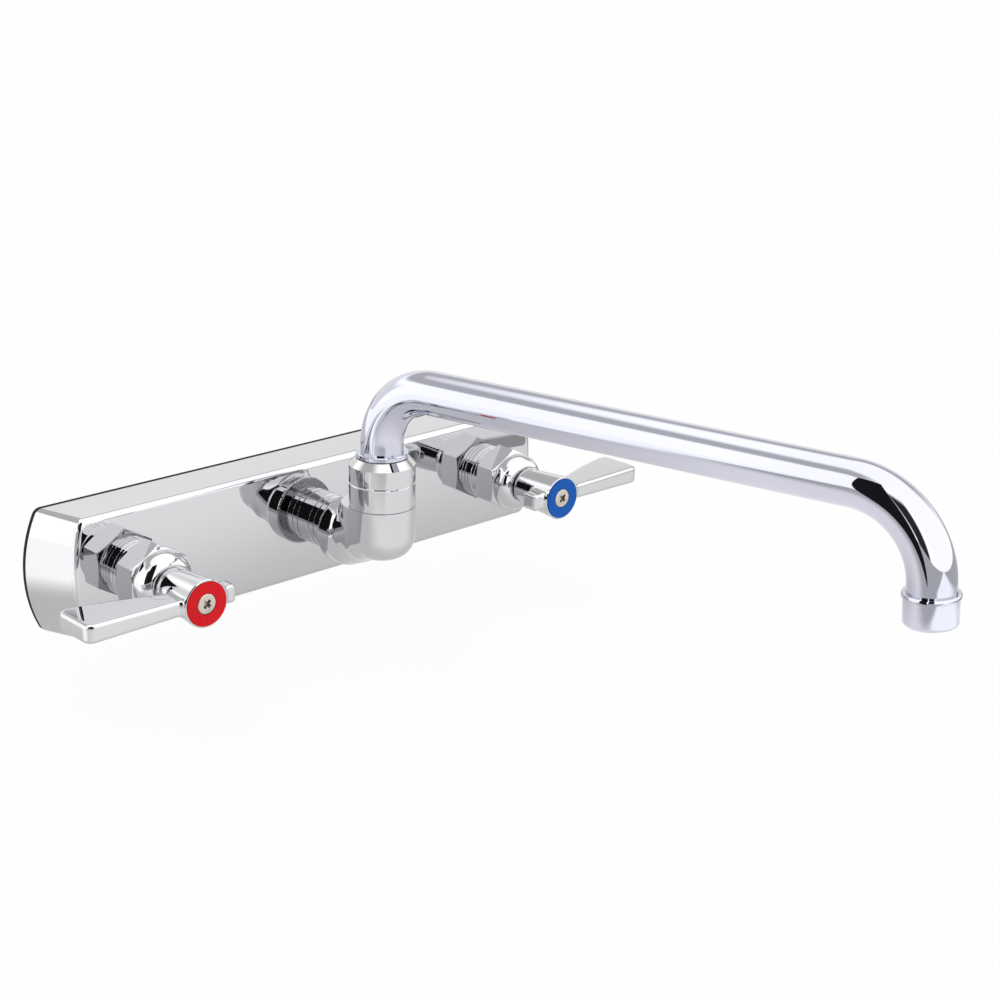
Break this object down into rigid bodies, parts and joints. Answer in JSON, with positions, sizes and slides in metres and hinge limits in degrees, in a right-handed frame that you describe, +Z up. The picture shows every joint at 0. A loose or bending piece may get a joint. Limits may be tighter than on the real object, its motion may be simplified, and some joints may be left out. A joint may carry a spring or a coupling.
{
  "type": "splash mount faucet",
  "caption": "Splash mount kitchen faucet: chromed plate body on the wall, hot and cold quarter-turn lever valves, and a long tube spout that swings on an elbow.",
  "frame": {"origin": "middle of the plate's rear face on the wall plane, at the height of the valve axes", "axes": "+X along the wall to the right as seen from the front, +Y into the wall, +Z up; the front of the faucet faces -Y"},
  "size_m": [0.3122, 0.3553, 0.1092],
  "materials": {
    "chrome_body": "polished chrome plating on brass",
    "chrome_fittings": "polished chrome plating on turned brass",
    "chrome_handle": "polished chrome plating on a casting",
    "chrome_spout": "polished chrome plating on drawn tube",
    "brass": "machined brass",
    "rubber": "matt black rubber",
    "ceramic": "lapped white ceramic",
    "white_plastic": "natural white moulded plastic",
    "screw_steel": "plain stainless steel",
    "index_red": "glossy red plastic",
    "index_blue": "glossy blue plastic"
  },
  "bodies": {
    "faucet_body": {"body_cover": "chrome_body", "wall_gasket": "rubber", "waterway": "brass", "hot_inlet_shank": "brass", "cold_inlet_shank": "brass", "shank_washers": "white_plastic", "shank_lock_nuts": "brass", "hot_neck_ring": "chrome_fittings", "cold_neck_ring": "chrome_fittings", "hot_bonnet": "chrome_fittings", "cold_bonnet": "chrome_fittings", "hot_packing_nut": "chrome_fittings", "cold_packing_nut": "chrome_fittings", "hot_seat_seal": "rubber", "cold_seat_seal": "rubber", "hot_fixed_disc": "ceramic", "cold_fixed_disc": "ceramic", "hot_thrust_washer": "white_plastic", "cold_thrust_washer": "white_plastic", "spout_elbow": "chrome_body", "swivel_housing": "chrome_body", "spout_nut": "chrome_body", "spout_thrust_washers": "white_plastic"},
    "hot_lever": {"hot_turning_disc": "ceramic", "hot_stem": "brass", "hot_stem_rings": "rubber", "hot_handle": "chrome_handle", "hot_handle_screw": "screw_steel", "hot_index_disc": "index_red"},
    "cold_lever": {"cold_turning_disc": "ceramic", "cold_stem": "brass", "cold_stem_rings": "rubber", "cold_handle": "chrome_handle", "cold_handle_screw": "screw_steel", "cold_index_disc": "index_blue"},
    "spout": {"spout_end": "brass", "spout_o_rings": "rubber", "tube_collar": "chrome_spout", "spout_tube": "chrome_spout", "outlet_collar": "chrome_spout", "outlet_washer": "rubber", "outlet_screen": "screw_steel", "outlet_insert": "white_plastic"}
  },
  "joints": [
    {"name": "hot_valve_turn", "type": "hinge", "parent": "faucet_body", "child": "hot_lever", "pos_m": [-0.1016, -0.06, 0], "axis": [0, -1, 0], "range_deg": [0, 90]},
    {"name": "cold_valve_turn", "type": "hinge", "parent": "faucet_body", "child": "cold_lever", "pos_m": [0.1016, -0.06, 0], "axis": [0, 1, 0], "range_deg": [0, 90]},
    {"name": "spout_swing", "type": "hinge", "parent": "faucet_body", "child": "spout", "pos_m": [0, -0.0658, 0.03], "axis": [0, 0, 1], "range_deg": [-112.8, 87.2]}
  ]
}
